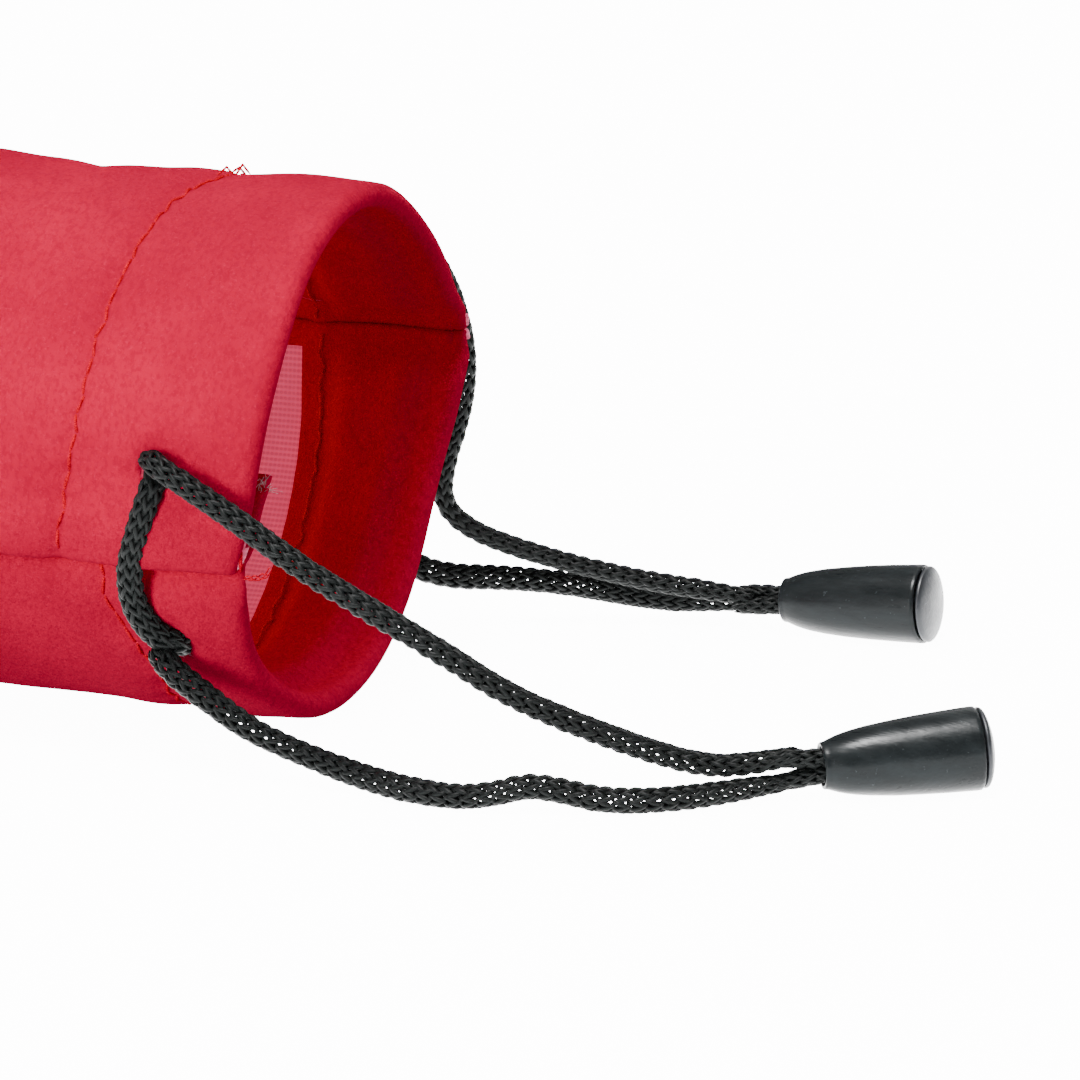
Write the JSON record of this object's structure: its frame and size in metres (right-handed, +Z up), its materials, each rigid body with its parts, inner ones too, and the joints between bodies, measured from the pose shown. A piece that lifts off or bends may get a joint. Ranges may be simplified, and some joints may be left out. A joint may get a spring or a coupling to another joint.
{
  "type": "drawstring bag",
  "caption": "Soft cloth storage tube with a hemmed round mouth, two drawcords through the hem and a bell-shaped cord end on each.",
  "frame": {"origin": "centre of the bag's footprint, on the surface it lies on, measured without the cords", "axes": "+X along the bag from its closed end to its mouth, +Z up, +Y away from the near side seam"},
  "size_m": [0.3316, 0.1228, 0.0713],
  "materials": {
    "cloth": "brushed microfibre, suede-like, paler on the wrong side",
    "thread": "polyester sewing thread",
    "cord": "knitted polyester cord",
    "bell": "satin moulded plastic",
    "cap": "polished moulded plastic"
  },
  "bodies": {
    "bag": {"upper_panel": "cloth", "lower_panel": "cloth", "upper_hem_needle_thread": "thread", "upper_hem_bobbin_thread": "thread", "lower_hem_needle_thread": "thread", "lower_hem_bobbin_thread": "thread", "near_seam_thread": "thread", "far_seam_thread": "thread", "end_seam_thread": "thread", "near_cord_loop": "cord", "near_cord_upper_strand": "cord", "near_cord_lower_strand": "cord", "near_cord_knot": "cord", "far_cord_loop": "cord", "far_cord_upper_strand": "cord", "far_cord_lower_strand": "cord", "far_cord_knot": "cord"},
    "near_bell": {"near_bell_shell": "bell"},
    "near_cap": {"near_bell_cap": "cap"},
    "far_bell": {"far_bell_shell": "bell"},
    "far_cap": {"far_bell_cap": "cap"}
  },
  "joints": [
    {"name": "near_bell_slide", "type": "slide", "parent": "bag", "child": "near_bell", "axis": [-0.8349, -0.5463, -0.067], "range_m": [0, 0.003]},
    {"name": "near_cap_pull", "type": "slide", "parent": "near_bell", "child": "near_cap", "axis": [0.8349, 0.5463, 0.067], "range_m": [0, 0.008]},
    {"name": "far_bell_slide", "type": "slide", "parent": "bag", "child": "far_bell", "axis": [-0.9975, -0.0244, -0.067], "range_m": [0, 0.003]},
    {"name": "far_cap_pull", "type": "slide", "parent": "far_bell", "child": "far_cap", "axis": [0.9975, 0.0244, 0.067], "range_m": [0, 0.008]}
  ]
}
